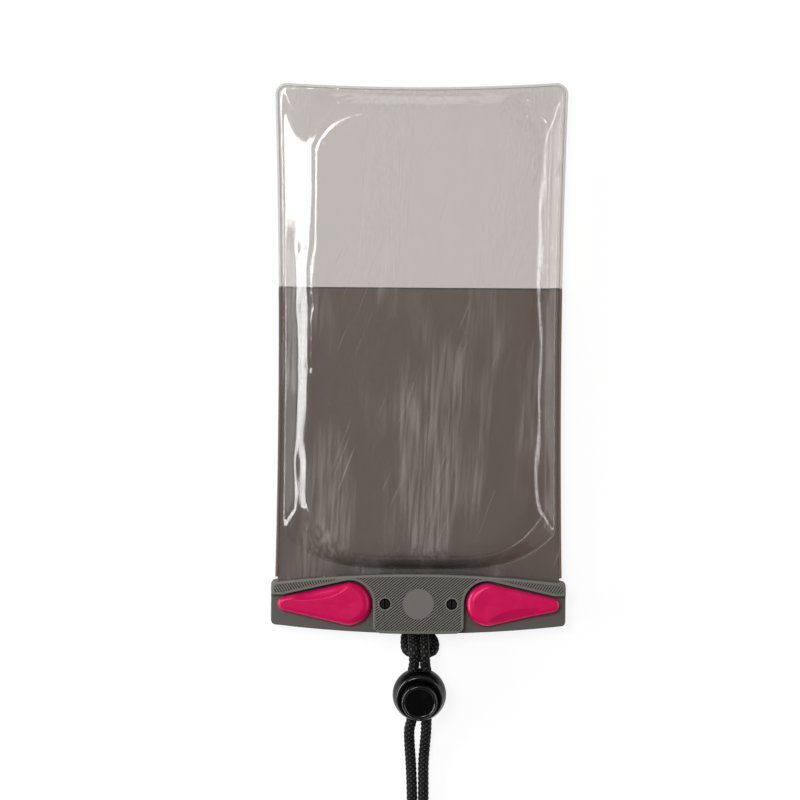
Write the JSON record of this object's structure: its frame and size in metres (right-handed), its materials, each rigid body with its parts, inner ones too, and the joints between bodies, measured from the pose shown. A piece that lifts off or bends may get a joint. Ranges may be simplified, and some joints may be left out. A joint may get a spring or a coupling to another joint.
{
  "type": "waterproof phone pouch",
  "caption": "Clear film pouch with a smoky back, closed by a two-jaw clip with turning levers, and worn on a neck cord with a push-button cord lock.",
  "frame": {"origin": "centre of the clip's flat back, on the surface that the pouch lies on", "axes": "+Y towards the closed end of the pouch, +X along the clip to the viewer's right, +Z out of the clear front"},
  "size_m": [0.1074, 0.3188, 0.0202],
  "materials": {
    "clear_film": "clear flexible film, glossy, faintly warm",
    "clear_bead": "clear welded rim bead, glossy",
    "smoke_film": "smoky brown-grey tinted film, glossy",
    "jaw_grey": "moulded dark grey plastic, satin",
    "plate_grey": "moulded warm grey plastic with fine grip grooves",
    "lever_pink": "moulded magenta plastic, semi-gloss",
    "peg_black": "black moulded plastic",
    "cord_black": "black braided polyester cord",
    "lock_black": "black moulded plastic, semi-gloss",
    "spring_steel": "spring wire"
  },
  "bodies": {
    "root": {"front_film": "clear_film", "back_window": "clear_film", "back_panel": "smoke_film", "rim_bead": "clear_bead", "rear_jaw": "jaw_grey", "left_peg": "peg_black", "right_peg": "peg_black", "lanyard_hitch": "cord_black", "lanyard_left_strand": "cord_black", "lanyard_right_strand": "cord_black", "lanyard_coil": "cord_black", "lock_housing": "lock_black", "lock_spring": "spring_steel"},
    "front_jaw": {"front_jaw": "plate_grey"},
    "left_lever": {"left_lever": "lever_pink", "left_shaft": "lever_pink"},
    "right_lever": {"right_lever": "lever_pink", "right_shaft": "lever_pink"},
    "lock_button": {"lock_button": "lock_black"}
  },
  "joints": [
    {"name": "jaw_lift", "type": "slide", "parent": "root", "child": "front_jaw", "axis": [0, 0, 1], "range_m": [0, 0.001]},
    {"name": "left_lever_turn", "type": "hinge", "parent": "front_jaw", "child": "left_lever", "pos_m": [-0.02465, 0, 0.0095], "axis": [0, 0, 1], "range_deg": [0, 90]},
    {"name": "right_lever_turn", "type": "hinge", "parent": "front_jaw", "child": "right_lever", "pos_m": [0.02465, 0, 0.0095], "axis": [0, 0, -1], "range_deg": [0, 90]},
    {"name": "lock_button_press", "type": "slide", "parent": "root", "child": "lock_button", "axis": [0, 0.2588, -0.9659], "range_m": [0, 0.0025], "stiffness_N_per_m": 300, "springref_m": -0.004, "deforming": ["lock_spring"]}
  ],
  "couplings": [
    {"joint": "left_lever_turn", "follows": "jaw_lift", "rad_per_m": 1570.8},
    {"joint": "right_lever_turn", "follows": "jaw_lift", "rad_per_m": 1570.8}
  ]
}
